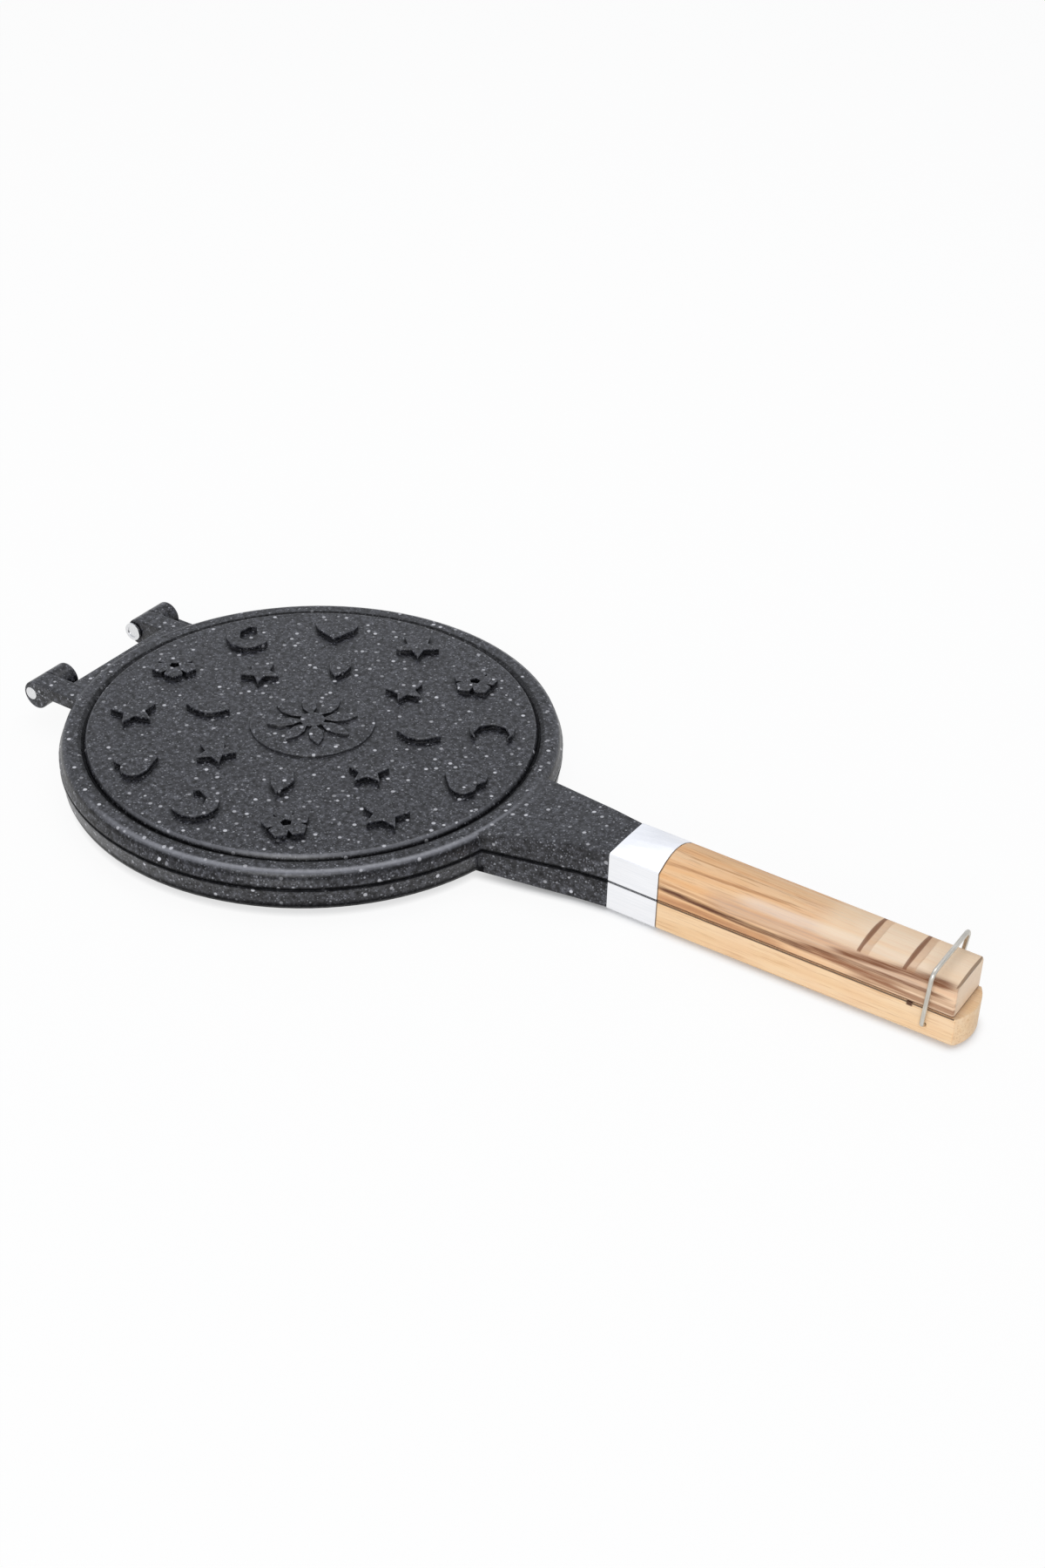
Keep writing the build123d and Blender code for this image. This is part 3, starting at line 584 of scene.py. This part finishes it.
def bail_wire(material):
    """The bail as one bent wire: feet in the grip's holes, leaning legs and a crossbar."""
    pivot = Vector(joints["bail_swing"]["pos_m"])
    start, end = GRIP_HALF_WIDTHS
    along = (pivot.x - mm(GRIP_START)) / mm(LOWER_GRIP_LENGTH)
    foot = start + (end - start) * along + BAIL_LEG_CLEARANCE + WIRE_RADIUS
    tip = foot - BAIL_END_LENGTH
    lean = Matrix.Translation(pivot) @ Matrix.Rotation(math.radians(BAIL_LEAN_DEGREES), 4, "Y")
    corners = ((-tip, 0), (-foot, 0), (-BAIL_TOP_HALF_WIDTH, BAIL_REACH),
               (BAIL_TOP_HALF_WIDTH, BAIL_REACH), (foot, 0), (tip, 0))
    corners = [lean @ Vector((0, mm(y), mm(z))) for y, z in corners]
    wire = tube("bail_wire", rounded_route(corners, mm(BAIL_BEND_RADIUS)), mm(WIRE_RADIUS))
    wire.data.materials.append(material)
    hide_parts("latch_bail")
    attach(wire, "bail")


def table_top():
    """The table, a square sheet that reaches metres past the pan on every side."""
    reach = 6
    mesh = bmesh.new()
    corners = ((-reach, -reach), (reach, -reach), (reach, reach), (-reach, reach))
    mesh.faces.new([mesh.verts.new((x, y, 0)) for x, y in corners])
    top = made("table_top", mesh)
    top.data.materials.append(white_table())


def lamp(name, place, target, size, power):
    """A soft oblong lamp turned to a point."""
    data = bpy.data.lights.new(name, "AREA")
    data.shape = "RECTANGLE"
    data.size, data.size_y = size
    data.energy = power
    light = bpy.data.objects.new(name, data)
    light.location = place
    light.rotation_mode = "QUATERNION"
    light.rotation_quaternion = (Vector(target) - Vector(place)).to_track_quat("-Z", "Y")
    bpy.context.scene.collection.objects.link(light)


def studio():
    """White room light, a wide soft lamp overhead and behind, and another one at the front. The
    camera sees the room white, surfaces mirror it slightly cooler, and it lights the pan by
    half."""
    world = bpy.data.worlds.new("white_room")
    bpy.context.scene.world = world
    world.use_nodes = True
    tree = world.node_tree
    tree.nodes.clear()
    camera, mirrored = ray_kinds(tree)
    level = add(tree, "Math", {0: mirrored, 1: 0.38, 2: 0.5}, operation="MULTIPLY_ADD")
    level = strongest(tree, camera, level)
    colour = add(tree, "Mix", {0: camera, 6: paint("#f6f9ff"), 7: paint("#fdfdfd")}, out=2,
                 data_type="RGBA")
    sky = add(tree, "Background", {"Color": colour, "Strength": level})
    add(tree, "OutputWorld", {"Surface": sky})
    lamp("overhead_softbox", (-0.1, 0.35, 1.4), (0.05, 0, 0), (1.2, 1.0), 6.5)
    lamp("front_fill", (0.7, -1.5, 0.6), (0.1, 0, 0), (1.0, 0.8), 12)


def viewpoint():
    """The photograph's place, aim and lens."""
    place = Vector((0.5661, -0.7030, 0.5838 + seam))
    turn, pitch, roll = (math.radians(a) for a in (32.41, 34.01, 1.774))
    ahead = Vector((-math.sin(turn) * math.cos(pitch), math.cos(turn) * math.cos(pitch),
                    -math.sin(pitch)))
    right = Vector((math.cos(turn), math.sin(turn), 0))
    up = right.cross(ahead)
    across = right * math.cos(roll) + up * math.sin(roll)
    rise = up * math.cos(roll) - right * math.sin(roll)
    data = bpy.data.cameras.new("camera")
    data.lens = 51.158
    data.sensor_width = 36
    data.clip_start, data.clip_end = 0.05, 40
    camera = bpy.data.objects.new("camera", data)
    aim = Matrix((across, rise, -ahead)).transposed().to_4x4()
    camera.matrix_world = Matrix.Translation(place) @ aim
    bpy.context.scene.collection.objects.link(camera)
    bpy.context.scene.camera = camera


def main():
    bpy.context.scene.view_settings.view_transform = "Standard"
    viewpoint()
    studio()
    table_top()
    coating = sprayed_stone_coating()
    # Aluminium tube brushed along the handle: close faint lines and a soft, even shine
    sleeve = rubbed_metal("satin_aluminium", "#f6f6f8", "#edeef1", 0.45, (14, 0.35, 0.35), 0.9)
    # Turned steel, of which the pins' ends show: a fine even grain and a sharper shine
    pin = rubbed_metal("turned_steel", "#e9e9ea", "#d2d3d5", 0.3, (0.35, 14, 0.35))
    # Steel wire pulled through a die: a slightly warm grey with faint lines along it
    wire = rubbed_metal("drawn_steel_wire", "#d8d4cb", "#b9b4aa", 0.3, (0.35, 4.7, 4.7))
    # Steel screws with a thin zinc plating: a slightly blue grey with an even grain
    screw = rubbed_metal("zinc_plated_steel", "#cfd3d6", "#b3b8bd", 0.35, (0.7, 0.7, 0.7))
    # The lower grip: pale sapwood with straight grain along the handle
    pale = oiled_wood("pale_oiled_wood",
                      [(0.3, "#eec696"), (0.5, "#f6d4a9"), (0.75, "#fae1c0")],
                      "#cfa06f", (0, 0.01, 0.02), lower_grip_marks)
    # The upper grip: warmer wood from beside the heart, its grain tilted against the top
    streaky = oiled_wood("streaked_oiled_wood",
                         [(0.28, "#da9c65"), (0.48, "#eeba83"), (0.72, "#f7d5ab")],
                         "#a46f42", (0.3, 0.05, -0.03), upper_grip_marks)
    outer = turned_edges("outer_edges", "bevel_weight_edge", "FLOAT", "Signed Angle")
    crisp = turned_edges("crisp_edges", "sharp_edge", "BOOLEAN", "Unsigned Angle")
    # Each solid's finish, and how wide its edges are broken in millimetres
    for name, material, width in (
        ("lower_plate", coating, 0.38), ("upper_plate", coating, 0.38),
        ("near_hinge_pin", pin, 0.15), ("far_hinge_pin", pin, 0.15),
        ("lower_ferrule", sleeve, 0.2), ("upper_ferrule", sleeve, 0.2),
        ("lower_grip", pale, 0.35), ("upper_grip", streaky, 0.35),
        ("lower_grip_screws", screw, 0.1), ("upper_grip_screws", screw, 0.1),
    ):
        dress(name, material, width, outer, crisp)
    bail_wire(wire)


main()
